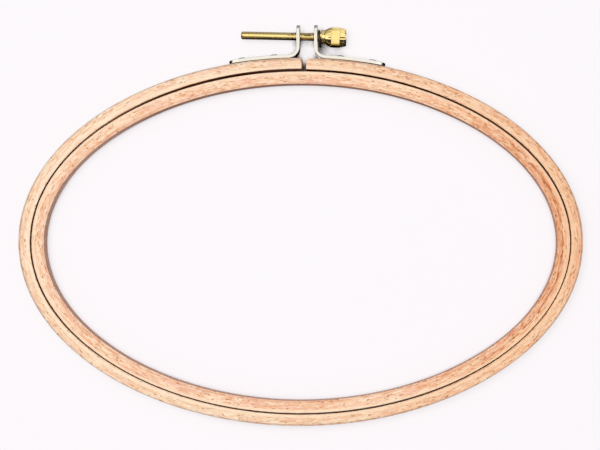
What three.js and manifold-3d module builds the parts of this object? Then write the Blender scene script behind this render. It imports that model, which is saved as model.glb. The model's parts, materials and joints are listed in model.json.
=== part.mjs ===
// Oval embroidery hoop, lying flat. A closed inner ring of bent wood sits inside a split outer ring.
// Two bent strips pinned to the outer ring's ends stand up as ears, and a screw with a fluted knob
// runs through both: loose in the right ear, threaded in the left one.
// Millimetres, +Z up. The origin is the middle of the footprint, on the surface that the hoop lies on.

import * as THREE from 'three';
import { mergeVertices } from 'three/addons/utils/BufferGeometryUtils.js';
import Module from 'manifold-3d';

const wasm = await Module();
wasm.setup();

// The rings. The outer face of the inner ring is an ellipse, and every face of both rings is parallel to it.
const lineHalfLength = 115.5;
const lineHalfWidth = 73.3;
const innerThickness = 5.4;
const outerThickness = 5.0;
const ringDepth = 9.0;
const ringClearance = 0.55;
const innerShiftX = 0.18;
const innerShiftY = -0.16;
const edgeRadius = 0.8;

// The split at the top of the outer ring. The right end is sloped off on its outer corner.
const splitGap = 1.6;
const splitCentreX = 2.1;
const slopeLength = 3.4;
const slopeDrop = 0.9;

// The brackets, bent from one strip each: a foot along the ring, a bend and a rounded ear.
const stripThickness = 1.4;
const stripWidth = 8.4;
const bendRadius = 2.6;
const footReach = 29.8;
const seatGap = 0.3;
const leftEarSetback = 1.6;
const rightEarSetback = 4.4;
const earTipAboveAxis = 5.0;

// The pins that hold each foot to the wood: the near one by its distance from the ear's middle, and
// the far one by its distance from the foot's end.
const nearPinReach = 10.3;
const farPinInset = 5.8;
const farPinReach = footReach - farPinInset;
const pinRadius = 0.6;
const pinDepthInWood = 2.8;
const pinHoleClearance = 0.3;
const pinHeadRadius = 1.6;
const pinHeadHeight = 0.5;
const pinHeadGap = 0.3;
const domeTurn = 80;

// The screw. Its axis leans a little in the plane of the ring, as the ears hold it.
const axisAboveRing = 9.55;
const screwLean = 1.6;
const rodRadius = 1.75;
const rodBeyondLeftEar = 24.0;
const rodEndChamfer = 0.5;
const threadedHoleClearance = 0.15;
const plainHoleClearance = 0.4;

// The knob, from the washer outwards: a plain hub, a fluted cone, a plain band and a fluted band.
const hubRadius = 2.5;
const hubLength = 1.5;
const coneLength = 2.6;
const bandRadius = 4.4;
const bandLength = 3.8;
const gripLength = 2.7;
const gripChamfer = 0.6;
const fluteCount = 16;
const fluteDepth = 0.5;
const bandStep = 0.15;

// The loose washer, which leans between the right ear and the hub.
const washerRadius = 3.8;
const washerThickness = 0.8;
const washerLean = 3.0;
const washerBoreClearance = 0.35;
const washerGap = 0.28;

// How finely curves are cut
const ringStepDegrees = 3;
const cornerSteps = 2;
const footSteps = 10;
const bendSteps = 6;
const domeSteps = 4;
const roundSides = 32;
const pinSides = 12;

const degree = Math.PI / 180;
const upAxis = new THREE.Vector3(0, 0, 1);

// Places that follow from the sizes above
const outerFace = ringClearance + outerThickness;
const stripMiddle = outerFace + seatGap + stripThickness / 2;
const midHeight = ringDepth / 2;
const leftEndX = splitCentreX - splitGap / 2;
const rightEndX = splitCentreX + splitGap / 2;
const leftEarX = leftEndX - leftEarSetback;
const rightEarX = rightEndX + rightEarSetback;
const axisX = (leftEarX + rightEarX) / 2;
const axisY = lineHalfWidth + outerFace + axisAboveRing;
const earTipY = axisY + earTipAboveAxis;
const footprintMiddleY = (earTipY - lineHalfWidth - outerFace) / 2;

const wood = (color) => new THREE.MeshStandardMaterial({ color, roughness: 0.62, metalness: 0 });
const metal = (color, roughness) => new THREE.MeshStandardMaterial({ color, roughness, metalness: 1 });
const materials = {
  outerWood: wood('#efcfa9'),
  innerWood: wood('#ecc597'),
  nickel: metal('#dcd8cc', 0.28),
  brass: metal('#d8b25c', 0.3),
  darkSteel: metal('#2b2926', 0.45),
};

// A point at a distance outside the ring line, and the direction that points outwards there.
function onRing(angle, distance) {
  const point = new THREE.Vector2(lineHalfLength * Math.cos(angle), lineHalfWidth * Math.sin(angle));
  const outward = new THREE.Vector2(Math.cos(angle) / lineHalfLength, Math.sin(angle) / lineHalfWidth);
  outward.normalize();
  point.addScaledVector(outward, distance);
  return { point, outward };
}

// The angle on the far half of the ring (+Y) where the parallel curve at a distance has a given x.
function angleAtX(x, distance) {
  let low = 0;
  let high = Math.PI;
  for (let i = 0; i < 50; i += 1) {
    const middle = (low + high) / 2;
    if (onRing(middle, distance).point.x > x) low = middle;
    else high = middle;
  }
  return (low + high) / 2;
}

// A closed solid through a list of equal loops of points. An open one gets a flat cap at each end.
function loft(loops, closed) {
  const count = loops[0].length;
  const positions = loops.flat().flatMap((p) => [p.x, p.y, p.z]);
  const faces = [];
  const last = closed ? loops.length : loops.length - 1;
  for (let i = 0; i < last; i += 1) {
    const here = i * count;
    const next = ((i + 1) % loops.length) * count;
    for (let j = 0; j < count; j += 1) {
      const k = (j + 1) % count;
      faces.push(here + j, here + k, next + k, here + j, next + k, next + j);
    }
  }
  if (!closed) {
    const end = (loops.length - 1) * count;
    for (let j = 1; j < count - 1; j += 1) {
      faces.push(0, j + 1, j);
      faces.push(end, end + j, end + j + 1);
    }
  }
  const geometry = new THREE.BufferGeometry();
  geometry.setAttribute('position', new THREE.Float32BufferAttribute(positions, 3));
  geometry.setIndex(faces);
  return geometry;
}

// Turned work along +X: each station is a place on the axis and its radius, plain or by point.
function turned(stations, sides) {
  const loops = stations.map(([along, radius]) =>
    Array.from({ length: sides }, (_, j) => {
      const r = typeof radius === 'function' ? radius(j) : radius;
      const turn = (j / sides) * 2 * Math.PI;
      return new THREE.Vector3(along, r * Math.cos(turn), r * Math.sin(turn));
    }));
  return loft(loops, false);
}

function toSolid(geometry) {
  const plain = geometry.clone();
  plain.deleteAttribute('normal');
  plain.deleteAttribute('uv');
  const merged = mergeVertices(plain, 1e-4);
  return new wasm.Manifold(new wasm.Mesh({
    numProp: 3,
    vertProperties: new Float32Array(merged.attributes.position.array),
    triVerts: new Uint32Array(merged.index.array),
  }));
}

function toGeometry(solid) {
  const mesh = solid.getMesh();
  const geometry = new THREE.BufferGeometry();
  geometry.setAttribute('position', new THREE.Float32BufferAttribute(mesh.vertProperties, 3));
  geometry.setIndex(Array.from(mesh.triVerts));
  return geometry;
}

// Moves a piece made along +X so that it points along a direction in the ring's plane.
function pointing(direction, x, y) {
  const along = new THREE.Vector3(direction.x, direction.y, 0).normalize();
  const across = new THREE.Vector3().crossVectors(upAxis, along);
  return new THREE.Matrix4().makeBasis(along, across, upAxis).setPosition(x, y, midHeight);
}

// The wood's section between two distances from the ring line, with eased corners.
function woodSection(from, to) {
  const corners = [
    [to - edgeRadius, edgeRadius, -90],
    [to - edgeRadius, ringDepth - edgeRadius, 0],
    [from + edgeRadius, ringDepth - edgeRadius, 90],
    [from + edgeRadius, edgeRadius, 180],
  ];
  return corners.flatMap(([distance, height, start]) =>
    Array.from({ length: cornerSteps + 1 }, (_, i) => {
      const turn = (start + (i * 90) / cornerSteps) * degree;
      return [distance + edgeRadius * Math.cos(turn), height + edgeRadius * Math.sin(turn)];
    }));
}

function woodLoop(angle, section) {
  return section.map(([distance, height]) => {
    const { point } = onRing(angle, distance);
    return new THREE.Vector3(point.x, point.y, height);
  });
}

function innerRing() {
  const section = woodSection(-innerThickness, 0);
  const loops = [];
  for (let turn = 0; turn > -360; turn -= ringStepDegrees) loops.push(woodLoop(turn * degree, section));
  return loft(loops, true);
}

// Where a pin goes through a foot: side is -1 on the left bracket and 1 on the right one.
function pinPlace(side, reach) {
  const earX = side < 0 ? leftEarX : rightEarX;
  const angle = angleAtX(side * earX + reach, stripMiddle);
  const at = (distance) => {
    const { point, outward } = onRing(angle, distance);
    return pointing({ x: side * outward.x, y: outward.y }, side * point.x, point.y);
  };
  return { onWood: at(outerFace), onStrip: at(stripMiddle + stripThickness / 2) };
}

function outerRing() {
  const section = woodSection(ringClearance, outerFace);
  const middle = ringClearance + outerThickness / 2;
  const rightEnd = angleAtX(rightEndX, middle) / degree;
  const leftEnd = angleAtX(leftEndX, middle) / degree - 360;
  const turns = [rightEnd];
  for (let turn = 90; turn > -270; turn -= ringStepDegrees) {
    if (turn < rightEnd - ringStepDegrees / 4 && turn > leftEnd + ringStepDegrees / 4) turns.push(turn);
  }
  turns.push(leftEnd);
  let solid = toSolid(loft(turns.map((turn) => woodLoop(turn * degree, section)), false));

  const overrun = 1;
  const slopeY = onRing(angleAtX(rightEndX, outerFace), outerFace).point.y;
  const slopeEndY = onRing(angleAtX(rightEndX + slopeLength, outerFace), outerFace).point.y;
  const fall = (slopeEndY - slopeY + slopeDrop) / slopeLength;
  const slope = new THREE.Shape([
    new THREE.Vector2(rightEndX - overrun, slopeY - slopeDrop - fall * overrun),
    new THREE.Vector2(rightEndX + slopeLength, slopeEndY),
    new THREE.Vector2(rightEndX + slopeLength, slopeY + overrun),
    new THREE.Vector2(rightEndX - overrun, slopeY + overrun),
  ]);
  const slopeCut = new THREE.ExtrudeGeometry(slope, { depth: ringDepth + 2 * overrun, bevelEnabled: false });
  slopeCut.translate(0, 0, -overrun);
  solid = solid.subtract(toSolid(slopeCut));

  const holeDepth = pinDepthInWood + pinHoleClearance;
  for (const side of [-1, 1]) {
    for (const reach of [nearPinReach, farPinReach]) {
      const holeRadius = pinRadius + pinHoleClearance;
      const hole = turned([[-holeDepth, holeRadius], [overrun, holeRadius]], pinSides);
      solid = solid.subtract(toSolid(hole.applyMatrix4(pinPlace(side, reach).onWood)));
    }
  }
  return toGeometry(solid);
}

// One long side of the bent strip, from the foot's end to the ear's tip, in a plane where the foot
// runs towards +X. The offset is measured from the middle of the strip, away from the ring.
function stripSide(earX, offset) {
  const endAngle = angleAtX(earX + footReach, stripMiddle);
  const bendAngle = angleAtX(earX + bendRadius, stripMiddle + bendRadius);
  const points = [];
  for (let i = 0; i < footSteps; i += 1) {
    const angle = endAngle + ((bendAngle - endAngle) * i) / footSteps;
    points.push(onRing(angle, stripMiddle + offset).point);
  }
  const { point: centre, outward } = onRing(bendAngle, stripMiddle + bendRadius);
  const start = Math.atan2(-outward.y, -outward.x);
  for (let i = 0; i <= bendSteps; i += 1) {
    const turn = start + ((-Math.PI - start) * i) / bendSteps;
    const radius = bendRadius - offset;
    points.push(new THREE.Vector2(centre.x + radius * Math.cos(turn), centre.y + radius * Math.sin(turn)));
  }
  points.push(new THREE.Vector2(earX + offset, earTipY));
  return points;
}

// Cuts the two corners off a strip's end, which points along +X, and leaves a half round.
function roundEndCutter(radius) {
  const overrun = 1;
  const wide = radius + overrun;
  const shape = new THREE.Shape();
  shape.moveTo(0, -wide);
  shape.lineTo(wide, -wide);
  shape.lineTo(wide, wide);
  shape.lineTo(0, wide);
  shape.lineTo(0, radius);
  shape.absarc(0, 0, radius, Math.PI / 2, -Math.PI / 2, true);
  const depth = 4 * stripThickness;
  const cutter = new THREE.ExtrudeGeometry(shape, { depth, bevelEnabled: false, curveSegments: roundSides / 2 });
  return cutter.translate(0, 0, -depth / 2).rotateX(Math.PI / 2);
}

function bracket(side, earX, earHoleRadius) {
  const mirroredEarX = side * earX;
  const near = stripSide(mirroredEarX, -stripThickness / 2);
  const far = stripSide(mirroredEarX, stripThickness / 2);
  const outline = near.concat(far.reverse()).map((p) => new THREE.Vector2(side * p.x, p.y));
  const strip = new THREE.ExtrudeGeometry(new THREE.Shape(outline), { depth: stripWidth, bevelEnabled: false });
  let solid = toSolid(strip.translate(0, 0, midHeight - stripWidth / 2));

  const endRadius = stripWidth / 2;
  const earTip = roundEndCutter(endRadius).applyMatrix4(pointing({ x: 0, y: 1 }, earX, earTipY - endRadius));
  const { point, outward } = onRing(angleAtX(mirroredEarX + footReach, stripMiddle), stripMiddle);
  const away = { x: side * outward.y, y: -outward.x };
  const footTip = roundEndCutter(endRadius).applyMatrix4(
    pointing(away, side * point.x - away.x * endRadius, point.y - away.y * endRadius));
  solid = solid.subtract(toSolid(earTip)).subtract(toSolid(footTip));

  const earAlong = earX - axisX;
  const earHole = turned([
    [earAlong - stripThickness, earHoleRadius],
    [earAlong + stripThickness, earHoleRadius],
  ], roundSides);
  solid = solid.subtract(toSolid(earHole.applyMatrix4(screwPlace)));

  for (const reach of [nearPinReach, farPinReach]) {
    const holeRadius = pinRadius + pinHoleClearance;
    const hole = turned([[-2 * stripThickness, holeRadius], [stripThickness, holeRadius]], pinSides);
    solid = solid.subtract(toSolid(hole.applyMatrix4(pinPlace(side, reach).onStrip)));
  }
  return toGeometry(solid);
}

// A pin with a low domed head. Its place is on the strip's outer face.
function pin() {
  const tip = -(stripThickness + seatGap + pinDepthInWood);
  const stations = [[tip, pinRadius / 3], [tip + pinRadius, pinRadius], [pinHeadGap, pinRadius]];
  for (let i = 0; i <= domeSteps; i += 1) {
    const turn = (i / domeSteps) * domeTurn * degree;
    stations.push([pinHeadGap + pinHeadHeight * Math.sin(turn), pinHeadRadius * Math.cos(turn)]);
  }
  return turned(stations, pinSides);
}

// Places along the screw's axis, from the middle between the ears
const leftEarFace = leftEarX - stripThickness / 2 - axisX;
const rightEarFace = rightEarX + stripThickness / 2 - axisX;
const washerHalf = washerThickness / 2;
const washerAlong = rightEarFace + washerGap
  + washerHalf * Math.cos(washerLean * degree) + washerRadius * Math.sin(washerLean * degree);
const washerToHub = (washerLean + screwLean) * degree;
const hubStart = washerAlong + washerHalf / Math.cos(washerToHub) + hubRadius * Math.tan(washerToHub) + washerGap;
const screwDirection = new THREE.Vector2(Math.cos(screwLean * degree), -Math.sin(screwLean * degree));
const screwPlace = pointing(screwDirection, axisX, axisY);

// The rod and the knob are one piece.
function clampScrew() {
  const fluted = (radius) => (j) => (j % 2 ? radius - fluteDepth : radius);
  const coneStart = hubStart + hubLength;
  const coneEnd = coneStart + coneLength;
  const bandEnd = coneEnd + bandLength;
  const gripEnd = bandEnd + gripLength;
  const gripRadius = bandRadius - bandStep;
  const rodEnd = leftEarFace - rodBeyondLeftEar;
  return turned([
    [rodEnd, rodRadius - rodEndChamfer],
    [rodEnd + rodEndChamfer, rodRadius],
    [hubStart, rodRadius],
    [hubStart, hubRadius],
    [coneStart, hubRadius],
    [coneStart, hubRadius + bandStep],
    [coneEnd, fluted(gripRadius)],
    [coneEnd, bandRadius],
    [bandEnd, bandRadius],
    [bandEnd, fluted(gripRadius)],
    [gripEnd - gripChamfer, fluted(gripRadius)],
    [gripEnd, gripRadius - fluteDepth - bandStep],
  ], 2 * fluteCount);
}

function washer() {
  const bore = rodRadius + washerBoreClearance;
  const disc = turned([[-washerHalf, washerRadius], [washerHalf, washerRadius]], roundSides);
  const hole = turned([[-washerThickness, bore], [washerThickness, bore]], roundSides);
  return toGeometry(toSolid(disc).subtract(toSolid(hole)));
}

const hoop = new THREE.Group();
hoop.position.y = -footprintMiddleY;

function addPiece(name, geometry, material, place) {
  geometry.computeVertexNormals();
  const mesh = new THREE.Mesh(geometry, material);
  mesh.name = name;
  if (place) mesh.applyMatrix4(place);
  hoop.add(mesh);
  return mesh;
}

addPiece('outer_ring', outerRing(), materials.outerWood);
addPiece('inner_ring', innerRing(), materials.innerWood).position.set(innerShiftX, innerShiftY, 0);
addPiece('left_bracket', bracket(-1, leftEarX, rodRadius + threadedHoleClearance), materials.nickel);
addPiece('right_bracket', bracket(1, rightEarX, rodRadius + plainHoleClearance), materials.nickel);
for (const [sideName, side] of [['left', -1], ['right', 1]]) {
  for (const [placeName, reach] of [['near', nearPinReach], ['far', farPinReach]]) {
    addPiece(`${sideName}_pin_${placeName}`, pin(), materials.nickel, pinPlace(side, reach).onStrip);
  }
}
addPiece('clamp_screw', clampScrew(), materials.brass, screwPlace);
addPiece('washer', washer(), materials.darkSteel, pointing(
  { x: Math.cos(washerLean * degree), y: Math.sin(washerLean * degree) },
  axisX + washerAlong * screwDirection.x,
  axisY + washerAlong * screwDirection.y,
));

export default hoop;
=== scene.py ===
# An oval embroidery hoop on a white table: two bent wood rings, two plated brackets and a brass
# clamp screw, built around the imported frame. Metres throughout, and mm turns a size into metres.

import json
import math

import bmesh
import bpy
from mathutils import Matrix, Vector


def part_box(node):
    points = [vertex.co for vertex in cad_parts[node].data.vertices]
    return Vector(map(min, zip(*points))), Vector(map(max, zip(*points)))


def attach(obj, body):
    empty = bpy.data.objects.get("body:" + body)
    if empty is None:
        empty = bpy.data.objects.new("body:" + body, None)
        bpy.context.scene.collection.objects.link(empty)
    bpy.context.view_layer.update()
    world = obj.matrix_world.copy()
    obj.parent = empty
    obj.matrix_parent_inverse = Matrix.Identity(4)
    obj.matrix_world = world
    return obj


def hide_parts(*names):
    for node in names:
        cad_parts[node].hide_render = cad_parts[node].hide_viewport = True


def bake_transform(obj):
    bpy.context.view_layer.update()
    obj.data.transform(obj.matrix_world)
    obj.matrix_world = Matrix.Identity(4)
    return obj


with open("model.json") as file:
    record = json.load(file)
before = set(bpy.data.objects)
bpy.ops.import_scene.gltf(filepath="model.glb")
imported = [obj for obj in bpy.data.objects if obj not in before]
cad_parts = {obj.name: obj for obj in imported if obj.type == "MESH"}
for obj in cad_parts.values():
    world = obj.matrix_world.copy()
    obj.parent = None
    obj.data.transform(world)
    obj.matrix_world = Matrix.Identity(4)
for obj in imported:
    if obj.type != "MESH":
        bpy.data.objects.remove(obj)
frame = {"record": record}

scene = bpy.context.scene
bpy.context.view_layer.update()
mm = 0.001


# The camera. The hoop is seen from nearly straight above, through a long lens, with its screw at
# the picture's top. The camera stands a little to the right of the middle.
camera_place = Vector((36.0, -17.3, 789.0)) * mm
camera_target = Vector((0.60, -0.18, 9.0)) * mm

camera_data = bpy.data.cameras.new("camera")
camera_data.lens = 109.45
camera_data.sensor_width = 36.0
camera_data.clip_start = 0.01
camera = bpy.data.objects.new("camera", camera_data)
scene.collection.objects.link(camera)
backwards = (camera_place - camera_target).normalized()
rightwards = Vector((0, 1, 0)).cross(backwards).normalized()
upwards = backwards.cross(rightwards)
facing = Matrix((rightwards, upwards, backwards)).transposed().to_4x4()
camera.matrix_world = Matrix.Translation(camera_place) @ facing
scene.camera = camera


# The rings. Each is one strip of beech, steamed and bent to an oval: the inner one is closed, the
# outer one is split at the screw. Their faces all run parallel to one line, the inner ring's outer
# face, and the saw and the sander left them slightly uneven.
inner_low, inner_high = (Vector(corner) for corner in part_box("inner_ring"))
outer_low, outer_high = (Vector(corner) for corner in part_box("outer_ring"))
line_half_length = (inner_high.x - inner_low.x) / 2
line_half_width = (inner_high.y - inner_low.y) / 2
inner_middle = (inner_low + inner_high) / 2
outer_half_length = (outer_high.x - outer_low.x) / 2
outer_middle = Vector((
    (outer_low.x + outer_high.x) / 2,
    outer_low.y + outer_half_length - line_half_length + line_half_width, inner_middle.z))
ring_depth = inner_high.z - inner_low.z
outer_face = outer_half_length - line_half_length
outer_thickness = 5.0 * mm
inner_thickness = 5.4 * mm
corner_radius = 0.3 * mm
split_start = 1.3 * mm
split_end = 3.15 * mm
slope_length = 3.4 * mm
slope_drop = 0.9 * mm
line_drift = 0.22 * mm
face_wear = 0.09 * mm
wear_scale = 70
wear_face_shift = 3.7
wear_ring_shift = 11.3
split_spring = 0.25 * mm
split_spring_reach = 60 * mm
gap_wave = 0.1 * mm
end_easing = 0.2 * mm
end_shrink = 0.07
weld_distance = 0.002 * mm
heart_tone = (0.64, 0.46, 0.32)
gap_shade_tone = (0.45, 0.2, 0.08)
no_heart_line = -1.0

ring_columns = 900
flat_rows = 3
corner_rows = 5
ring_rows = 4 * (flat_rows + corner_rows)


class Link:
    """The output of a node. Arithmetic on it adds Math nodes to the same tree."""

    def __init__(self, tree, socket):
        self.tree = tree
        self.socket = socket

    def output(self, name):
        return Link(self.tree, self.socket.node.outputs[name])

    def __add__(self, other):
        return self.tree.maths("ADD", self, other)

    def __radd__(self, other):
        return self.tree.maths("ADD", other, self)

    def __sub__(self, other):
        return self.tree.maths("SUBTRACT", self, other)

    def __rsub__(self, other):
        return self.tree.maths("SUBTRACT", other, self)

    def __mul__(self, other):
        return self.tree.maths("MULTIPLY", self, other)

    def __rmul__(self, other):
        return self.tree.maths("MULTIPLY", other, self)

    def __truediv__(self, other):
        return self.tree.maths("DIVIDE", self, other)

    def clamped(self):
        return self.tree.maths("ADD", self, 0.0, use_clamp=True)

    def sine(self):
        return self.tree.maths("SINE", self)

    def cosine(self):
        return self.tree.maths("COSINE", self)

    def floor(self):
        return self.tree.maths("FLOOR", self)

    def size(self):
        return self.tree.maths("ABSOLUTE", self)

    def least(self, other):
        return self.tree.maths("MINIMUM", self, other)

    def most(self, other):
        return self.tree.maths("MAXIMUM", self, other)


class Tree:
    """A node tree under construction, for a material, a world or a shape."""

    def __init__(self, nodes):
        self.nodes = nodes

    def add(self, kind, settings=None, inputs=None):
        """Any node, from its type, its settings and the values or links of its sockets."""
        node = self.nodes.nodes.new(kind)
        for name, value in (settings or {}).items():
            setattr(node, name, value)
        for key, value in (inputs or {}).items():
            if isinstance(value, Link):
                self.nodes.links.new(value.socket, node.inputs[key])
            else:
                node.inputs[key].default_value = value
        return Link(self, node.outputs[0]) if len(node.outputs) else node

    def maths(self, operation, *values, use_clamp=False):
        settings = {"operation": operation, "use_clamp": use_clamp}
        return self.add("ShaderNodeMath", settings, dict(enumerate(values)))

    def vector(self, x, y, z):
        return self.add("ShaderNodeCombineXYZ", {}, {"X": x, "Y": y, "Z": z})

    def ramp(self, value, low, high):
        """0 below low, 1 above high, and smooth between them."""
        return self.add("ShaderNodeMapRange", {"interpolation_type": "SMOOTHSTEP"},
                        {"Value": value, "From Min": low, "From Max": high})


def shape_tree(name, size_names):
    """A geometry tree with one named input for each size. It returns the tree and its inputs."""
    tree = Tree(bpy.data.node_groups.new(name, "GeometryNodeTree"))
    tree.nodes.interface.new_socket("Geometry", in_out="OUTPUT", socket_type="NodeSocketGeometry")
    for size_name in size_names:
        tree.nodes.interface.new_socket(size_name, in_out="INPUT", socket_type="NodeSocketFloat")
    first = tree.add("NodeGroupInput")
    return tree, {size_name: first.output(size_name) for size_name in size_names}


def keep_vector(tree, geometry, name, value):
    """Stores a vector at each point, for the material to read."""
    return tree.add("GeometryNodeStoreNamedAttribute", {"data_type": "FLOAT_VECTOR", "domain": "POINT"}, {
        "Geometry": geometry, "Name": name, "Value": value})


def place_points(tree, geometry, position):
    """Moves each point to its own position, and welds the points that meet."""
    moved = tree.add("GeometryNodeSetPosition", {}, {"Geometry": geometry, "Position": position})
    return tree.add("GeometryNodeMergeByDistance", {}, {"Geometry": moved, "Distance": weld_distance})


def end_tree(tree, geometry, material):
    """Ends a geometry tree as the plain mesh needs it: real geometry with one material."""
    realized = tree.add("GeometryNodeRealizeInstances", {}, {"Geometry": geometry})
    finished = tree.add("GeometryNodeSetMaterial", {}, {"Geometry": realized, "Material": material})
    tree.add("NodeGroupOutput", {}, {"Geometry": finished})


def finish_mesh(mesh, sharp_degrees):
    """Points the faces outwards, and shades them smooth except where they meet at a sharp angle."""
    work = bmesh.new()
    work.from_mesh(mesh)
    bmesh.ops.recalc_face_normals(work, faces=work.faces)
    work.to_mesh(mesh)
    work.free()
    mesh.shade_smooth()
    mesh.set_sharp_from_angle(angle=math.radians(sharp_degrees))


def grow(name, tree, sizes, sharp_degrees=40):
    """Runs a geometry tree with these sizes, and keeps the result as a plain mesh."""
    piece = bpy.data.objects.new(name, bpy.data.meshes.new(name))
    scene.collection.objects.link(piece)
    modifier = piece.modifiers.new(name, "NODES")
    modifier.node_group = tree.nodes
    for item in tree.nodes.interface.items_tree:
        if item.in_out == "INPUT":
            modifier[item.identifier] = float(sizes[item.name])
    bpy.context.view_layer.update()
    graph = bpy.context.evaluated_depsgraph_get()
    shaped = piece.evaluated_get(graph)
    mesh = bpy.data.meshes.new_from_object(shaped, preserve_all_data_layers=True, depsgraph=graph)
    piece.modifiers.clear()
    piece.data = mesh
    finish_mesh(mesh, sharp_degrees)
    return piece


def grid(tree, columns, rows):
    """A grid of vertices, with the number of each one's column and row."""
    made = tree.add("GeometryNodeMeshGrid", {}, {
        "Size X": 1.0, "Size Y": 1.0, "Vertices X": columns + 1, "Vertices Y": rows + 1})
    place = tree.add("ShaderNodeSeparateXYZ", {}, {"Vector": tree.add("GeometryNodeInputPosition")})
    column = ((place + 0.5) * columns + 0.5).floor()
    row = ((place.output("Y") + 0.5) * rows + 0.5).floor()
    return made, column, row


def ring_tree(material):
    """One bent strip. Its columns run along the oval and its rows round its section."""
    tree, size = shape_tree("bent strip", [
        "Half length", "Half width", "Middle X", "Middle Y", "Depth", "Inner face", "Outer face",
        "Corner radius", "Start", "Turn", "Ends", "Slope length", "Slope drop", "Drift", "Wear", "Spring",
        "Spring reach", "Wave"])
    made, column, row = grid(tree, ring_columns, ring_rows)
    ends = size["Ends"]

    from_end = column.least(ring_columns - column)
    closing = (1 - from_end.clamped()) * (1 - end_shrink) + (2 - from_end).clamped() * end_shrink
    section_scale = 1 - ends * closing
    easing = ends * end_easing / size["Half length"]
    past_start = (column - 1).clamped()
    past_end = (column - (ring_columns - 2)).clamped()
    along = ((column - 2) / (ring_columns - 4)).clamped()
    angle = size["Start"] - easing * past_start - easing * past_end - along * (size["Turn"] - 2 * easing)

    side = (row / (flat_rows + corner_rows)).floor()
    step = row - side * (flat_rows + corner_rows)
    flat = (step / flat_rows).clamped()
    corner = ((step - flat_rows) / corner_rows).clamped() * (math.pi / 2)
    lengthwise = (side * (math.pi / 2)).sine().size()
    half_thickness = (size["Outer face"] - size["Inner face"]) / 2
    half_depth = size["Depth"] / 2
    reach = half_thickness + (half_depth - half_thickness) * lengthwise
    run = half_depth + (half_thickness - half_depth) * lengthwise

    radius = size["Corner radius"]
    line_x = angle.cosine() * size["Half length"]
    line_y = angle.sine() * size["Half width"]
    noise_place = tree.vector(
        line_x * wear_scale, line_y * wear_scale, side * wear_face_shift + ends * wear_ring_shift)
    wear = tree.add("ShaderNodeTexNoise", {}, {
        "Vector": noise_place, "Scale": 1.0, "Detail": 4.0, "Roughness": 0.6})
    outwards = reach - radius + radius * corner.cosine() - size["Wear"] * wear
    onwards = radius * corner.sine() - (run - radius) + 2 * (run - radius) * flat
    turn = side * (math.pi / 2)
    across = outwards * turn.cosine() - onwards * turn.sine()
    height = outwards * turn.sine() + onwards * turn.cosine()

    from_start = (size["Start"] - angle) * size["Half length"]
    slope = size["Slope drop"] * (1 - from_start / size["Slope length"]).clamped()
    middle = (size["Outer face"] + size["Inner face"]) / 2
    distance = (middle + across * section_scale).least(size["Outer face"] - slope)
    from_finish = (angle - size["Start"] + size["Turn"]) * size["Half length"]
    spring = size["Spring"] * tree.ramp(from_finish, size["Spring reach"], 0.0)
    on_inner_face = (0.5 - across / (2 * half_thickness)).clamped()
    on_gap_face = (1 - ends) + (2 * ends - 1) * on_inner_face
    wave = 0.3 + angle.cosine() * 0.45 - (angle * 2).cosine() * 0.5 + (angle * 4).sine() * 0.45
    parted = size["Wave"] * wave * on_gap_face * (2 * ends - 1)
    distance = distance + spring * on_inner_face + parted + size["Drift"] * ((angle * 4).cosine() - 1)

    normal_x = angle.cosine() * size["Half width"]
    normal_y = angle.sine() * size["Half length"]
    normal_size = tree.maths("SQRT", normal_x * normal_x + normal_y * normal_y)
    place = tree.vector(
        size["Middle X"] + line_x + normal_x / normal_size * distance,
        size["Middle Y"] + line_y + normal_y / normal_size * distance,
        half_depth + height * section_scale)
    grain = tree.vector(line_x, line_y, distance - size["Inner face"])
    grained = keep_vector(tree, made, "grain", grain)
    end_tree(tree, place_points(tree, grained, place), material)
    return tree


def new_material(name):
    """An empty material with its tree and its output."""
    material = bpy.data.materials.new(name)
    material.use_nodes = True
    material.node_tree.nodes.clear()
    return material, Tree(material.node_tree)


def surface(tree, inputs):
    """Gives the material one principled surface."""
    shader = tree.add("ShaderNodeBsdfPrincipled", {}, inputs)
    tree.add("ShaderNodeOutputMaterial", {}, {"Surface": shader})


def tint(tree, factor, first, second):
    """A colour between two others, each a link or three numbers."""
    mixed = tree.add("ShaderNodeMix", {"data_type": "RGBA"}, {
        0: factor,
        6: first if isinstance(first, Link) else (*first, 1.0),
        7: second if isinstance(second, Link) else (*second, 1.0)})
    return Link(tree, mixed.socket.node.outputs[2])


def stain(tree, factor, color, tone):
    """A colour filtered by a tone, as far as the factor goes."""
    mixed = tree.add("ShaderNodeMix", {"data_type": "RGBA", "blend_type": "MULTIPLY"}, {
        0: 1.0, 6: color, 7: (*tone, 1.0)})
    return tint(tree, factor, color, Link(tree, mixed.socket.node.outputs[2]))


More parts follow.
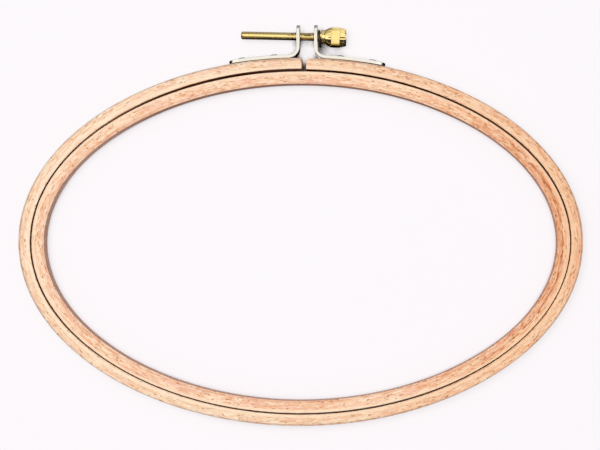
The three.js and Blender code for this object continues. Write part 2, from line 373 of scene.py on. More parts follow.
def wood(name, pale, tan, rosy, honey, brown, cream, right_shade_tone, right_shade_from, scar_tone, edge_shade_tone, wall_shade_tone,
         thickness, gap_face, heart_line, seed):
    """Bare beech. The fibres run along the strip, so every pattern is long that way and fine across.

    It is darker along one vein. Painted shade darkens it towards the right, at the top edge away from the
    gap, on its wall and in the gap, and a painted highlight, partly real sanded wear, pales it along the
    gap's top edges."""
    material, tree = new_material(name)
    grain = tree.add("ShaderNodeAttribute", {"attribute_name": "grain"}).output("Vector")
    place = tree.add("ShaderNodeSeparateXYZ", {}, {"Vector": grain})
    line_x, line_y, across = place, place.output("Y"), place.output("Z")
    point = tree.add("ShaderNodeTexCoord").output("Object")
    height = tree.add("ShaderNodeSeparateXYZ", {}, {"Vector": point}).output("Z")

    def fibres(along_scale, across_scale, detail, offset):
        return tree.add("ShaderNodeTexNoise", {"noise_dimensions": "4D"}, {
            "Vector": tree.vector(line_x * along_scale, line_y * along_scale, across * across_scale),
            "W": height * across_scale + (seed + offset), "Scale": 1.0, "Detail": detail, "Roughness": 0.55})

    broad = fibres(22, 260, 2.0, 0.0)
    rose = fibres(70, 420, 2.0, 5.1)
    mottle = fibres(330, 1100, 1.0, 9.7)
    streak = fibres(240, 1700, 1.0, 27.5)
    fine = fibres(300, 3400, 2.0, 14.2)
    fleck = fibres(640, 2400, 0.0, 21.9)
    vein = fibres(15, 800, 1.0, 33.3)
    scar = fibres(260, 1700, 1.0, 41.3)
    to_right = line_x / line_half_length
    # Painted shade: this mask darkens the wood towards the right, in place of the light's sheen on the left,
    # and it also thickens the grain there.
    right_grain_and_shade = tree.ramp(to_right, right_shade_from, 1.1)

    color = tint(tree, tree.ramp(broad, 0.38, 0.62), pale, tan)
    for pattern, low, high, strength, tone in (
            (rose, 0.48, 0.62, 0.85, rosy),
            (mottle, 0.5, 0.62, 0.6, honey),
            (mottle, 0.46, 0.32, 0.6, cream),
            (streak, 0.5, 0.6, 0.65 + right_grain_and_shade * 0.3, honey),
            (streak, 0.45, 0.34, 0.6, cream),
            (vein, 0.6, 0.7, 0.55, honey),
            (fine, 0.5, 0.72, 0.34, brown)):
        color = tint(tree, tree.ramp(pattern, low, high) * strength, color, tone)
    color = stain(tree, tree.ramp(scar + right_grain_and_shade * 0.04, 0.66, 0.72) * 0.8, color, scar_tone)
    color = tint(tree, tree.ramp(fleck + right_grain_and_shade * 0.04, 0.66, 0.74) * 0.75, color, brown)
    from_gap = (across - gap_face).size()
    top = tree.ramp((height / ring_depth - 0.5).size(), 0.42, 0.46)
    # Painted highlight, partly real sanded wear: a paler band along the gap's top edges, where the rounded
    # corners catch the light.
    gap_edge_highlight_and_wear = tree.ramp(from_gap, 0.1 * mm, 0.3 * mm) * tree.ramp(from_gap, 1.9 * mm, 1.0 * mm)
    color = tint(tree, gap_edge_highlight_and_wear * top * (0.35 + broad * 0.6), color, cream)
    # Painted shade towards the right, in place of the light's sheen on the left.
    color = stain(tree, right_grain_and_shade, color, right_shade_tone)
    from_heart = (from_gap - heart_line).size()
    heart = tree.ramp(from_heart, 0.85 * mm, 0.25 * mm) * tree.ramp(to_right, 0.6, 0.9)
    heart = heart * tree.ramp(vein * 0.4 + streak * 0.6, 0.4, 0.56)
    color = stain(tree, heart * top, color, heart_tone)
    # Painted shade: a greyish line along the top edge away from the gap, where the rounding turns from the
    # light.
    painted_edge_shade = tree.ramp(from_gap, thickness - 1.1 * mm, thickness - 0.6 * mm) * (0.5 + mottle * 0.9)
    painted_edge_shade = painted_edge_shade * tree.ramp(from_gap, thickness - 0.1 * mm, thickness - 0.35 * mm) * top
    color = stain(tree, painted_edge_shade.clamped(), color, edge_shade_tone)
    # Painted shade: the wall away from the gap is darkened and tinted mauve, as the same wood in shade.
    painted_wall_shade = tree.ramp(from_gap, thickness - 0.3 * mm, thickness - 0.1 * mm) * (1 - top)
    color = stain(tree, painted_wall_shade, color, wall_shade_tone)
    # Painted shade: the gap faces below the top are darkened to deep brown, as the shadow in the narrow gap.
    # It stays there when the rings part.
    painted_gap_shade = tree.ramp(from_gap, 0.45 * mm, 0.2 * mm)
    painted_gap_shade = painted_gap_shade * tree.ramp(height, ring_depth - 0.1 * mm, ring_depth - 0.6 * mm)
    color = stain(tree, painted_gap_shade, color, gap_shade_tone)
    bump = tree.add("ShaderNodeBump", {}, {
        "Strength": 0.35, "Distance": 0.05 * mm, "Height": mottle * 0.5 + fine * 0.5 - fleck * 0.4})
    surface(tree, {"Base Color": color, "Roughness": 0.5 + mottle * 0.25, "Normal": bump, "IOR": 1.45})
    return material


outer_beech = wood(
    "outer beech", pale=(0.98, 0.80, 0.59), tan=(0.93, 0.69, 0.47), rosy=(0.90, 0.59, 0.44),
    honey=(0.90, 0.54, 0.32), brown=(0.46, 0.20, 0.08), cream=(1.0, 0.81, 0.58), right_shade_tone=(0.96, 0.81, 0.70),
    right_shade_from=-0.4, scar_tone=(0.80, 0.56, 0.42), edge_shade_tone=(0.64, 0.64, 0.68),
    wall_shade_tone=(0.9, 0.86, 0.84), thickness=outer_thickness, gap_face=0.0, heart_line=no_heart_line, seed=2.0)
inner_beech = wood(
    "inner beech", pale=(0.99, 0.74, 0.52), tan=(0.94, 0.63, 0.42), rosy=(0.94, 0.57, 0.43),
    honey=(0.88, 0.46, 0.25), brown=(0.42, 0.16, 0.06), cream=(1.0, 0.79, 0.56), right_shade_tone=(0.97, 0.83, 0.71),
    right_shade_from=0.1, scar_tone=(0.74, 0.42, 0.24), edge_shade_tone=(0.88, 0.82, 0.82),
    wall_shade_tone=(0.80, 0.68, 0.70), thickness=inner_thickness, gap_face=inner_thickness, heart_line=3.0 * mm,
    seed=7.0)


def ring_point(angle, distance):
    """A point at a distance outside the outer ring's line, and the way outwards there."""
    slant = Vector((math.cos(angle) / line_half_length, math.sin(angle) / line_half_width, 0))
    outwards = slant.normalized()
    on_line = Vector((line_half_length * math.cos(angle), line_half_width * math.sin(angle), 0))
    return Vector((outer_middle.x, outer_middle.y, 0)) + on_line + outwards * distance, outwards


def ring_angle(x, distance):
    """The angle on the ring's far half where the parallel curve at a distance has a given x."""
    low = 0.0
    high = math.pi
    for _ in range(50):
        middle = (low + high) / 2
        if ring_point(middle, distance)[0].x > x:
            low = middle
        else:
            high = middle
    return (low + high) / 2


def bent_strip(name, material, middle, inner_face, thickness, start, turn, ends):
    """One ring's strip, with the sizes that both rings share."""
    return grow(name, ring_tree(material), {
        "Half length": line_half_length, "Half width": line_half_width, "Middle X": middle.x,
        "Middle Y": middle.y, "Depth": ring_depth, "Inner face": inner_face,
        "Outer face": inner_face + thickness, "Corner radius": corner_radius, "Start": start, "Turn": turn,
        "Ends": ends, "Slope length": slope_length, "Slope drop": slope_drop * ends, "Drift": line_drift,
        "Wear": face_wear, "Spring": split_spring * ends, "Spring reach": split_spring_reach,
        "Wave": gap_wave})


outer_inner_face = outer_face - outer_thickness
right_end = ring_angle(split_end, outer_face - outer_thickness / 2)
left_end = ring_angle(split_start, outer_face - outer_thickness / 2)
inner_ring = bent_strip(
    "inner_ring_wood", inner_beech, inner_middle, -inner_thickness, inner_thickness, 0.0, 2 * math.pi, 0)
outer_ring = bent_strip(
    "outer_ring_wood", outer_beech, outer_middle, outer_inner_face, outer_thickness,
    right_end, 2 * math.pi - (left_end - right_end), 1)

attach(inner_ring, "inner_hoop")
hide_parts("inner_ring")
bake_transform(outer_ring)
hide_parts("outer_ring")


# The brackets. Each is a strip of steel, blanked with round ends and one hole, then bent over a bar
# and plated with bright nickel. The foot lies along the outer ring and the ear stands beside the
# split. The left ear's hole is the tighter one, because the screw's thread runs in it.
left_low, left_high = (Vector(corner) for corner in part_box("left_bracket"))
right_low, right_high = (Vector(corner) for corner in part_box("right_bracket"))
strip_thickness = 1.4 * mm
strip_width = right_high.z - right_low.z
strip_middle_height = (right_high.z + right_low.z) / 2
seat_gap = 0.1 * mm
bend_radius = 4.1 * mm
strip_bevel = 0.2 * mm
threaded_hole_radius = 1.9 * mm
plain_hole_radius = 2.15 * mm
strip_distance = outer_face + seat_gap + strip_thickness / 2
ear_tip = right_high.y
cut_step = 0.4 * mm
cut_tolerance = 0.001 * mm

joint_facts = {joint["name"]: joint for joint in frame["record"]["behaviour"]["joints"]}
screw_pivot = Vector(joint_facts["screw_turn"]["pos_m"])
screw_axis = Vector(joint_facts["screw_turn"]["axis"]).normalized()


def strip_line(side, foot_end, ear_x):
    """The strip's middle line seen from above, from the foot's end to the ear's tip."""
    mirrored = 2 * outer_middle.x if side < 0 else 0
    ear = mirrored + side * ear_x
    end_angle = ring_angle(mirrored + side * foot_end, strip_distance + strip_thickness / 2)
    bend_angle = ring_angle(ear + bend_radius, strip_distance + bend_radius)
    foot_steps = 60
    points = [
        ring_point(end_angle + (bend_angle - end_angle) * step / foot_steps, strip_distance)[0]
        for step in range(foot_steps)]
    centre, outwards = ring_point(bend_angle, strip_distance + bend_radius)
    start = math.atan2(-outwards.y, -outwards.x)
    bend_steps = 24
    for step in range(bend_steps + 1):
        turn = start + (-math.pi - start) * step / bend_steps
        points.append(centre + Vector((math.cos(turn), math.sin(turn), 0)) * bend_radius)
    points.append(Vector((ear, ear_tip, 0)))
    return [Vector((mirrored + side * point.x, point.y, 0)) for point in points]


def strip_blank(length, hole_at, hole_radius):
    """The flat strip with its round ends, its eased edges and its hole, lying along X."""
    outline = bpy.data.curves.new("blank", "CURVE")
    outline.dimensions = "2D"
    outline.fill_mode = "BOTH"
    outline.extrude = strip_thickness / 2 - strip_bevel
    outline.bevel_depth = strip_bevel
    outline.bevel_resolution = 2
    outline.offset = -strip_bevel
    half = strip_width / 2
    end_steps = 24
    round_ends = [
        (middle + half * math.sin(turn), -half * math.cos(turn))
        for middle, first in ((length - half, 0.0), (half, math.pi))
        for turn in (first + math.pi * step / end_steps for step in range(end_steps + 1))]
    hole_steps = 48
    hole = [
        (hole_at + hole_radius * math.cos(turn), -hole_radius * math.sin(turn))
        for turn in (2 * math.pi * step / hole_steps for step in range(hole_steps))]
    for loop in (round_ends, hole):
        spline = outline.splines.new("POLY")
        spline.points.add(len(loop) - 1)
        spline.use_cyclic_u = True
        for point, (x, y) in zip(spline.points, loop):
            point.co = (x, y, 0, 1)
    holder = bpy.data.objects.new("blank", outline)
    scene.collection.objects.link(holder)
    bpy.context.view_layer.update()
    graph = bpy.context.evaluated_depsgraph_get()
    mesh = bpy.data.meshes.new_from_object(holder.evaluated_get(graph), depsgraph=graph)
    bpy.data.objects.remove(holder)
    return mesh


def plain_piece(name, mesh, material, sharp_degrees):
    """A piece from a mesh that is already in its place."""
    mesh.materials.append(material)
    finish_mesh(mesh, sharp_degrees)
    piece = bpy.data.objects.new(name, mesh)
    scene.collection.objects.link(piece)
    return piece


def bend_strip(name, side, foot_end, ear_x, hole_radius, material):
    """Cuts the blank across in short steps, so that it can bend, and lays it along its line."""
    line = strip_line(side, foot_end, ear_x)
    lengths = [0.0]
    for here, there in zip(line, line[1:]):
        lengths.append(lengths[-1] + (there - here).length)
    hole_height = screw_pivot.y + (ear_x - screw_pivot.x) * screw_axis.y / screw_axis.x
    mesh = strip_blank(lengths[-1], lengths[-1] - (ear_tip - hole_height), hole_radius)
    work = bmesh.new()
    work.from_mesh(mesh)
    bmesh.ops.remove_doubles(work, verts=work.verts, dist=weld_distance)
    ear_start = lengths[-2]
    cuts = int(ear_start / cut_step)
    for cut in range(1, cuts + 1):
        everything = work.verts[:] + work.edges[:] + work.faces[:]
        cut_at = (cut * ear_start / cuts, 0, 0)
        bmesh.ops.bisect_plane(work, geom=everything, dist=cut_tolerance, plane_co=cut_at, plane_no=(1, 0, 0))
    for vertex in work.verts:
        along, up, out = vertex.co
        step = max(i for i in range(len(line) - 1) if lengths[i] <= max(along, 0.0))
        onward = (line[step + 1] - line[step]).normalized()
        outward = Vector((-onward.y, onward.x, 0)) * -side
        vertex.co = line[step] + onward * (along - lengths[step]) + outward * out
        vertex.co.z = strip_middle_height + up
    work.to_mesh(mesh)
    work.free()
    return plain_piece(name, mesh, material, 35)


def plate(name, color, roughness, scuff):
    """Bright plating over steel, with faint scuffs along the strip."""
    material, tree = new_material(name)
    point = tree.add("ShaderNodeTexCoord").output("Object")
    haze = tree.add("ShaderNodeTexNoise", {}, {"Vector": point, "Scale": 350.0, "Detail": 3.0})
    grit = tree.add("ShaderNodeTexNoise", {}, {"Vector": point, "Scale": 2600.0, "Detail": 2.0})
    spots = tree.ramp(haze, 0.55, 0.75)
    bump = tree.add("ShaderNodeBump", {}, {"Strength": 0.15, "Distance": 0.02 * mm, "Height": grit + haze})
    surface(tree, {
        "Base Color": tint(tree, spots * 0.5, color, scuff), "Metallic": 1.0,
        "Roughness": roughness + spots * 0.12 + grit * 0.08, "Normal": bump})
    return material


bracket_nickel = plate("bracket nickel", (0.80, 0.77, 0.70), 0.16, (0.62, 0.57, 0.48))
left_bracket = bend_strip(
    "left_bracket_strip", -1, left_low.x, left_high.x - strip_thickness / 2, threaded_hole_radius,
    bracket_nickel)
right_bracket = bend_strip(
    "right_bracket_strip", 1, right_high.x, right_low.x + strip_thickness / 2, plain_hole_radius,
    bracket_nickel)
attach(left_bracket, "outer_frame")
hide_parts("left_bracket")
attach(right_bracket, "right_end")
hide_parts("right_bracket")


# The pins. Two on each side, with low domed heads, are driven through the foot into the wood.
pin_head_radius = 1.6 * mm
pin_collar = 0.3 * mm
pin_dome = 0.5 * mm
pin_sink = 0.05 * mm
pin_columns = 14
pin_rows = 28


def pin_tree(material):
    """The heads of two pins, one at each place, each standing square on the foot."""
    tree, size = shape_tree("driven pins", [
        "Near X", "Near Y", "Far X", "Far Y", "Height", "Head radius", "Collar", "Dome"])
    made, column, row = grid(tree, pin_columns, pin_rows)
    turn = row * (2 * math.pi / pin_rows)
    under = column.clamped()
    rise = ((column - 3) / (pin_columns - 3)).clamped() * (math.pi / 2)
    radius = size["Head radius"] * under * (0.94 + 0.06 * (column - 1).clamped()) * rise.cosine()
    collar_top = size["Collar"] * (column - 2).clamped()
    sunk = pin_sink * (1 - (column - 1).clamped())
    top = collar_top - sunk + size["Dome"] * rise.sine()
    head = place_points(tree, made, tree.vector(radius * turn.cosine(), radius * turn.sine(), top))
    places = tree.add("GeometryNodeMeshLine", {"mode": "END_POINTS"}, {
        "Count": 2,
        "Start Location": tree.vector(size["Near X"], size["Near Y"], size["Height"]),
        "Offset": tree.vector(size["Far X"], size["Far Y"], size["Height"])})
    place = tree.add("ShaderNodeSeparateXYZ", {}, {"Vector": tree.add("GeometryNodeInputPosition")})
    half_length = line_half_length + strip_distance
    half_width = line_half_width + strip_distance
    outwards = tree.vector(
        (place - outer_middle.x) / half_length ** 2,
        (place.output("Y") - outer_middle.y) / half_width ** 2, 0.0)
    square = tree.add("FunctionNodeAlignRotationToVector", {"axis": "Z"}, {"Vector": outwards})
    heads = tree.add("GeometryNodeInstanceOnPoints", {}, {
        "Points": places, "Instance": head, "Rotation": square})
    end_tree(tree, heads, material)
    return tree


def pin_seat(node):
    """Where a pin meets the foot's outer face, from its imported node."""
    low, high = (Vector(corner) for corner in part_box(node))
    middle = (low + high) / 2
    distance = middle.y - ring_point(ring_angle(middle.x, 0.0), 0.0)[0].y
    angle = ring_angle(middle.x, distance)
    return ring_point(angle, strip_distance + strip_thickness / 2)[0]


pin_steel = plate("pin plate", (0.66, 0.63, 0.58), 0.24, (0.45, 0.41, 0.35))
for side_name, body in (("left", "outer_frame"), ("right", "right_end")):
    near = pin_seat(side_name + "_pin_near")
    far = pin_seat(side_name + "_pin_far")
    pins = grow(side_name + "_pin_heads", pin_tree(pin_steel), {
        "Near X": near.x, "Near Y": near.y, "Far X": far.x, "Far Y": far.y, "Height": strip_middle_height,
        "Head radius": pin_head_radius, "Collar": pin_collar, "Dome": pin_dome})
    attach(pins, body)
    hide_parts(side_name + "_pin_near", side_name + "_pin_far")


# The clamp screw. One brass bar: a rod with a fine right-hand thread, and a turned knob with a beaded
# hub, a fluted cone, a plain band and a fluted grip. The thread's pitch is the joint's own ratio.
screw_low, screw_high = (Vector(corner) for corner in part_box("clamp_screw"))
follow = next(facts for facts in frame["record"]["behaviour"]["couplings"] if facts["joint"] == "screw_turn")
thread_pitch = 2 * math.pi / follow["ratio"]
rod_radius = 1.75 * mm
rod_end_radius = 1.25 * mm
rod_chamfer = 0.5 * mm
rod_in_hub = 0.3 * mm
knob_end_radius = 3.6 * mm
thread_depth = 0.16 * mm
crest_share = 0.05
thread_start = 0.3 * mm
thread_stop = 0.9 * mm
thread_run_out = 0.5 * mm
hub_radius = 3.1 * mm
hub_length = 1.5 * mm
bead_count = 2
bead_depth = 0.14 * mm
cone_length = 2.6 * mm
cone_swell = 0.5
band_radius = 4.4 * mm
band_length = 3.8 * mm
band_step = 0.15 * mm
grip_length = 2.7 * mm
grip_chamfer = 0.6 * mm
flute_count = 16
flute_depth = 0.2 * mm
cone_flute_share = 0.6
knob_edge = 0.12 * mm
grip_taper = 0.5 * mm
rod_rows = 96
knob_columns = 140
knob_rows = 192

rod_start = (screw_low.x - screw_pivot.x + rod_end_radius * abs(screw_axis.y)) / screw_axis.x
knob_end = (screw_high.x - screw_pivot.x - knob_end_radius * abs(screw_axis.y)) / screw_axis.x
hub_start = knob_end - grip_length - band_length - cone_length - hub_length
rod_end = hub_start + rod_in_hub
rod_turns = math.ceil((rod_end - rod_start) / thread_pitch) + 1


def screw_tree(material):
    """The rod, whose columns wind round it with the thread, and the knob turned on its end."""
    tree, size = shape_tree("threaded screw", [
        "Start", "Rod end", "End", "Pitch", "Rod radius", "Thread depth", "Crest share", "Hub start",
        "Hub radius", "Hub length", "Bead depth", "Cone length", "Cone swell", "Band radius", "Band length",
        "Band step", "Grip length", "Grip taper", "Grip chamfer", "Flutes", "Flute depth"])
    across = Vector((-screw_axis.y, screw_axis.x, 0))

    def passed(along, place, width):
        """0 before a place on the axis and 1 after it, with a straight step of this width."""
        return ((along - place) / width).clamped()

    def lathed(made, along, radius, turn):
        """Puts a grid round the axis, and stores where each point was on the lathe."""
        sideways = radius * turn.cosine()
        upwards = radius * turn.sine()
        kept = keep_vector(tree, made, "lathe", tree.vector(along, sideways, upwards))
        return place_points(tree, kept, tree.vector(
            screw_pivot.x + along * screw_axis.x + sideways * across.x,
            screw_pivot.y + along * screw_axis.y + sideways * across.y,
            screw_pivot.z + upwards))

    made, column, row = grid(tree, rod_turns * 4, rod_rows)
    turn = row * (2 * math.pi / rod_rows)
    pitches = (column / 4).floor()
    corner = column - pitches * 4
    in_root = (corner / 2).floor()
    share = in_root * 0.5 + (corner - in_root * 2) * size["Crest share"]
    wound = size["Start"] + (pitches + share - row / rod_rows) * size["Pitch"]
    along = wound.most(size["Start"]).least(size["Rod end"])
    begun = passed(along, size["Start"] + thread_start, thread_run_out)
    ended = passed(along, size["Hub start"] - thread_stop, thread_run_out)
    threaded = begun * (1 - ended)
    tip = passed(along, size["Start"], rod_chamfer)
    inside = column.clamped() * (rod_turns * 4 - column).clamped()
    shank = size["Rod radius"] - rod_chamfer * (1 - tip)
    radius = (shank - size["Thread depth"] * threaded * in_root) * inside
    rod = lathed(made, along, radius, turn)

    made, column, row = grid(tree, knob_columns, knob_rows)
    turn = row * (2 * math.pi / knob_rows)
    knob_share = ((column - 1) / (knob_columns - 2)).clamped()
    along = size["Hub start"] + (size["End"] - size["Hub start"]) * knob_share
    cone_start = size["Hub start"] + size["Hub length"]
    cone_end = cone_start + size["Cone length"]
    band_end = cone_end + size["Band length"]
    grip_radius = size["Band radius"] - size["Band step"]
    flute = 0.5 - 0.5 * (turn * size["Flutes"]).cosine()
    cut = size["Flute depth"] * flute * flute
    on_cone = passed(along, cone_start, size["Cone length"])
    on_grip = passed(along, band_end, knob_edge)
    swollen = on_cone * (1 + size["Cone swell"] * (1 - on_cone))
    cone_cut = cone_flute_share * cut
    radius = size["Hub radius"] + (grip_radius - size["Hub radius"]) * swollen - cone_cut * on_cone
    radius = radius + (size["Band radius"] - grip_radius + cone_cut) * passed(along, cone_end, knob_edge)
    radius = radius - (size["Band step"] + cut) * on_grip
    over_grip = passed(along, band_end, size["Grip length"])
    radius = radius - size["Grip taper"] * over_grip
    rim = passed(along, size["End"] - size["Grip chamfer"], size["Grip chamfer"])
    radius = radius - (size["Flute depth"] - cut) * rim
    bead = (2 * math.pi * bead_count) * (along - size["Hub start"]) / size["Hub length"]
    between_beads = (0.5 + 0.5 * bead.cosine()) * (1 - passed(along, cone_start, knob_edge))
    inside = column.clamped() * (knob_columns - column).clamped()
    knob = lathed(made, along, (radius - size["Bead depth"] * between_beads) * inside, turn)

    both = tree.add("GeometryNodeJoinGeometry")
    tree.nodes.links.new(rod.socket, both.socket.node.inputs[0])
    tree.nodes.links.new(knob.socket, both.socket.node.inputs[0])
    end_tree(tree, both, material)
    return tree


def turned_brass(name):
    """Bright turned brass, with fine tool marks round the axis and a little tarnish in the hollows."""
    material, tree = new_material(name)
    lathe = tree.add("ShaderNodeAttribute", {"attribute_name": "lathe"}).output("Vector")
    place = tree.add("ShaderNodeSeparateXYZ", {}, {"Vector": lathe})
    sideways, upwards = place.output("Y"), place.output("Z")
    marks = tree.add("ShaderNodeTexNoise", {}, {
        "Vector": tree.vector(place * 9000, sideways * 250, upwards * 250), "Scale": 1.0, "Detail": 2.0})
    cloud = tree.add("ShaderNodeTexNoise", {}, {"Vector": lathe, "Scale": 420.0, "Detail": 3.0})
    radius = tree.maths("SQRT", sideways * sideways + upwards * upwards)
    on_knob = tree.ramp(place, hub_start - 0.1 * mm, hub_start)
    color = tint(tree, tree.ramp(cloud, 0.4, 0.7) * 0.5, (0.94, 0.75, 0.32), (0.86, 0.62, 0.21))
    hollow = 1 - tree.ramp(radius, rod_radius - thread_depth, rod_radius - 0.3 * thread_depth)
    color = tint(tree, hollow * (1 - on_knob) * 0.3, color, (0.45, 0.30, 0.09))
    bump = tree.add("ShaderNodeBump", {}, {"Strength": 0.2, "Distance": 0.02 * mm, "Height": marks})
    roughness = 0.08 + on_knob * 0.05 + marks * 0.05
    surface(tree, {"Base Color": color, "Metallic": 1.0, "Roughness": roughness, "Normal": bump})
    return material


screw_brass = turned_brass("screw brass")
clamp_screw = grow("clamp_screw_brass", screw_tree(screw_brass), {
    "Start": rod_start, "Rod end": rod_end, "End": knob_end, "Pitch": thread_pitch,
    "Rod radius": rod_radius, "Thread depth": thread_depth, "Crest share": crest_share,
    "Hub start": hub_start, "Hub radius": hub_radius, "Hub length": hub_length, "Bead depth": bead_depth,
    "Cone length": cone_length, "Cone swell": cone_swell, "Band radius": band_radius,
    "Band length": band_length, "Band step": band_step, "Grip length": grip_length,
    "Grip taper": grip_taper, "Grip chamfer": grip_chamfer, "Flutes": flute_count,
    "Flute depth": flute_depth}, sharp_degrees=25)
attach(clamp_screw, "screw")
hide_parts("clamp_screw")


# The washer. A plain ring of blackened steel, with a wide bore. It is loose on the rod between the
# right ear and the hub, where it leans a little and hangs low.
washer_low, washer_high = (Vector(corner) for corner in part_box("washer"))
washer_radius = 3.8 * mm
washer_bore = 2.55 * mm
washer_thickness = 0.8 * mm
washer_edge = 0.12 * mm
washer_lean = math.radians(4.0)
washer_sag = 0.7 * mm
washer_steps = 72


def turned_ring(name, profile, middle, direction, steps, material):
    """A closed profile of (along, radius) points, turned about a direction through a middle."""
    turn_to = direction.to_track_quat("X", "Z").to_matrix()
    vertices = []
    for step in range(steps):
        turn = 2 * math.pi * step / steps
        for along, radius in profile:
            point = Vector((along, radius * math.cos(turn), radius * math.sin(turn)))
            vertices.append(middle + turn_to @ point)
    count = len(profile)
    faces = [
        (step * count + i, step * count + (i + 1) % count,
         (step + 1) % steps * count + (i + 1) % count, (step + 1) % steps * count + i)
        for step in range(steps) for i in range(count)]
    mesh = bpy.data.meshes.new(name)
    mesh.from_pydata(vertices, [], faces)
    return plain_piece(name, mesh, material, 50)


def blackened_steel(name):
    """Oil-blackened steel, rubbed a little brighter in patches."""
    material, tree = new_material(name)
    point = tree.add("ShaderNodeTexCoord").output("Object")
    cloud = tree.add("ShaderNodeTexNoise", {}, {"Vector": point, "Scale": 900.0, "Detail": 4.0})
    bump = tree.add("ShaderNodeBump", {}, {"Strength": 0.3, "Distance": 0.03 * mm, "Height": cloud})
    color = tint(tree, tree.ramp(cloud, 0.5, 0.75), (0.022, 0.02, 0.018), (0.07, 0.06, 0.05))
    surface(tree, {"Base Color": color, "Metallic": 0.6, "Roughness": 0.38 + cloud * 0.2, "Normal": bump})
    return material


half_washer = washer_thickness / 2
washer_profile = [
    (-half_washer, washer_bore + washer_edge), (-half_washer, washer_radius - washer_edge),
    (-half_washer + washer_edge, washer_radius), (half_washer - washer_edge, washer_radius),
    (half_washer, washer_radius - washer_edge), (half_washer, washer_bore + washer_edge),
    (half_washer - washer_edge, washer_bore), (-half_washer + washer_edge, washer_bore)]
washer = turned_ring(
    "washer_ring", washer_profile, (washer_low + washer_high) / 2 - Vector((0, washer_sag, 0)),
    Vector((math.cos(washer_lean), math.sin(washer_lean), 0)), washer_steps, blackened_steel("washer steel"))
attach(washer, "loose_washer")
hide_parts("washer")


# The table: a smooth white sheet under the hoop and far beyond it. The camera sees it nearly white,
# with painted shade in the nooks by the wood, and it keeps the hoop's soft shadow. A mirrored ray sees
# painted bright and dark patches on it instead, placed by position, which give the metal the bands that it
# has in the photo.
table_reach = 4.0
table_white = (1.0, 0.97, 0.99)

table_mesh = bpy.data.meshes.new("table")
table_mesh.from_pydata(
    [(-table_reach, -table_reach, 0), (table_reach, -table_reach, 0),
     (table_reach, table_reach, 0), (-table_reach, table_reach, 0)], [], [(0, 1, 2, 3)])
table = bpy.data.objects.new("table", table_mesh)
scene.collection.objects.link(table)

table_paper, tree = new_material("table white")
rays = tree.add("ShaderNodeLightPath")
mirrored = rays.output("Is Glossy Ray")
seen = rays.most(mirrored).most(rays.output("Is Transmission Ray"))
nook = tree.add("ShaderNodeAmbientOcclusion", {"samples": 8}, {"Distance": 5 * mm}).output("AO")
place = tree.add("ShaderNodeSeparateXYZ", {}, {"Vector": tree.add("ShaderNodeTexCoord").output("Object")})
far = place.output("Y")
once = (2.1 - rays.output("Glossy Depth")).clamped()
knob_side = tree.ramp(place, 12 * mm, 16 * mm) * (once + (1 - once) * tree.ramp(place, 23 * mm, 21 * mm))
behind = tree.ramp(far, 78 * mm, 84 * mm) * (0.33 * once + 0.6 * knob_side)
in_front = tree.ramp(far, 50 * mm, 30 * mm)
by_ear = 0.8 * once * tree.ramp(place, 6.6 * mm, 7.0 * mm) * tree.ramp(place, 10 * mm, 8.6 * mm)
by_ear = by_ear * tree.ramp(far, 70 * mm, 72 * mm) * tree.ramp(far, 84 * mm, 78 * mm)
# Painted shade: in the nooks the glow fades and a dark sheet takes over. For mirrored rays, the patches
# placed by position are painted reflections.
open_air = tree.ramp(nook, 0.39, 0.53) * (1 - mirrored) + (behind + in_front + by_ear) * mirrored
grey = tree.add("ShaderNodeBsdfDiffuse", {}, {"Color": (0.45, 0.42, 0.44, 1.0)})
open_sheet = tree.add("ShaderNodeBsdfDiffuse", {}, {"Color": (0.9, 0.87, 0.89, 1.0)})
nook_shade_sheet = tree.add("ShaderNodeBsdfDiffuse", {}, {"Color": (0.14, 0.07, 0.04, 1.0)})
shaded = tree.add("ShaderNodeMixShader", {}, {0: tree.ramp(nook, 0.39, 0.24), 1: open_sheet, 2: nook_shade_sheet})
dark = tree.add("ShaderNodeEmission", {}, {"Color": (*table_white, 1.0), "Strength": 0.0})
glow = tree.add("ShaderNodeEmission", {}, {"Color": (*table_white, 1.0), "Strength": 1.0})
open_glow = tree.add("ShaderNodeMixShader", {}, {0: open_air, 1: dark, 2: glow})
bright = tree.add("ShaderNodeMixShader", {}, {0: 0.7 + 0.3 * mirrored, 1: shaded, 2: open_glow})
mixed = tree.add("ShaderNodeMixShader", {}, {0: seen, 1: grey, 2: bright})
tree.add("ShaderNodeOutputMaterial", {}, {"Surface": mixed})
table_mesh.materials.append(table_paper)


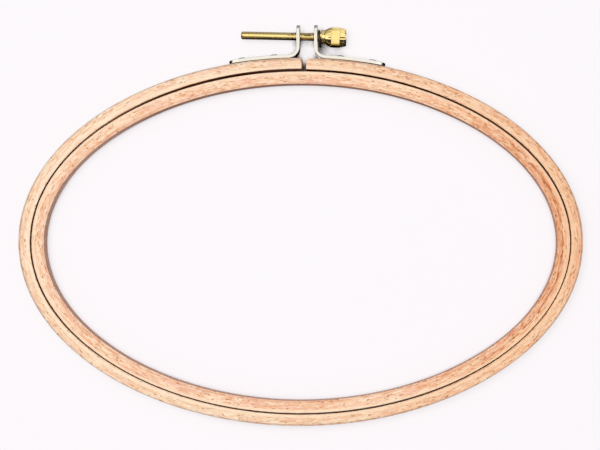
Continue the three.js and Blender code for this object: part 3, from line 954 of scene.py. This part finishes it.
# The light: one broad soft lamp overhead and a little to the left, and a dim room around it. A
# mirrored ray sees a room with bright and dark parts instead, and the camera sees plain white.
lamp_data = bpy.data.lights.new("overhead", "AREA")
lamp_data.shape = "DISK"
lamp_data.size = 0.9
lamp_data.energy = 15.5
lamp = bpy.data.objects.new("overhead", lamp_data)
scene.collection.objects.link(lamp)
lamp.location = (-0.14, 0.10, 1.45)
lamp.rotation_euler = (Vector((0, 0, 0)) - lamp.location).to_track_quat("-Z", "Y").to_euler()
lamp.visible_glossy = False

world = bpy.data.worlds.new("room")
world.use_nodes = True
world.node_tree.nodes.clear()
scene.world = world
tree = Tree(world.node_tree)
rays = tree.add("ShaderNodeLightPath")
sky = tree.add("ShaderNodeSeparateXYZ", {}, {"Vector": tree.add("ShaderNodeTexCoord")})
to_side, to_far, to_sky = sky.size(), sky.output("Y"), sky.output("Z")
far_half = tree.ramp(to_far, 0.36, 0.48)
on_side = tree.ramp(to_side + 0.28 * tree.ramp(to_far, 0.15, -0.05), 0.35, 0.51)
leftwards = tree.ramp(sky, 0.3, -0.3)
high = (1 - far_half) * tree.ramp(to_sky, 0.08, 0.24)
beside = tree.ramp(to_far, -0.36, -0.24) * (0.7 * leftwards * (1 - high) + 1.4 * high)
ahead = 0.45 * far_half * tree.ramp(to_sky, 0.25, 0.0) + 1.15 * tree.ramp(to_sky, 0.0, 0.25)
again = (rays.output("Glossy Depth") - 1).clamped()
beside = beside * (1 - again * tree.ramp(to_far, 0.15, 0.35))
ahead = ahead * (1 - again * tree.ramp(to_side, 0.08, 0.2))
gloss_strength = 0.01 + beside * on_side + ahead * (1 - on_side)
gloss = tree.add("ShaderNodeBackground", {}, {"Color": (1.0, 0.98, 0.95, 1.0), "Strength": gloss_strength})
above = tree.ramp(to_sky, 0.2, 1.0)
dim = tree.add("ShaderNodeBackground", {}, {"Color": (0.94, 0.93, 1.0, 1.0), "Strength": 0.2 + 0.3 * above})
white = tree.add("ShaderNodeBackground", {}, {"Color": (*table_white, 1.0), "Strength": 1.0})
room = tree.add("ShaderNodeMixShader", {}, {0: rays.output("Is Glossy Ray"), 1: dim, 2: gloss})
tree.add("ShaderNodeOutputWorld", {}, {
    "Surface": tree.add("ShaderNodeMixShader", {}, {0: rays, 1: room, 2: white})})

scene.view_settings.view_transform = "Standard"
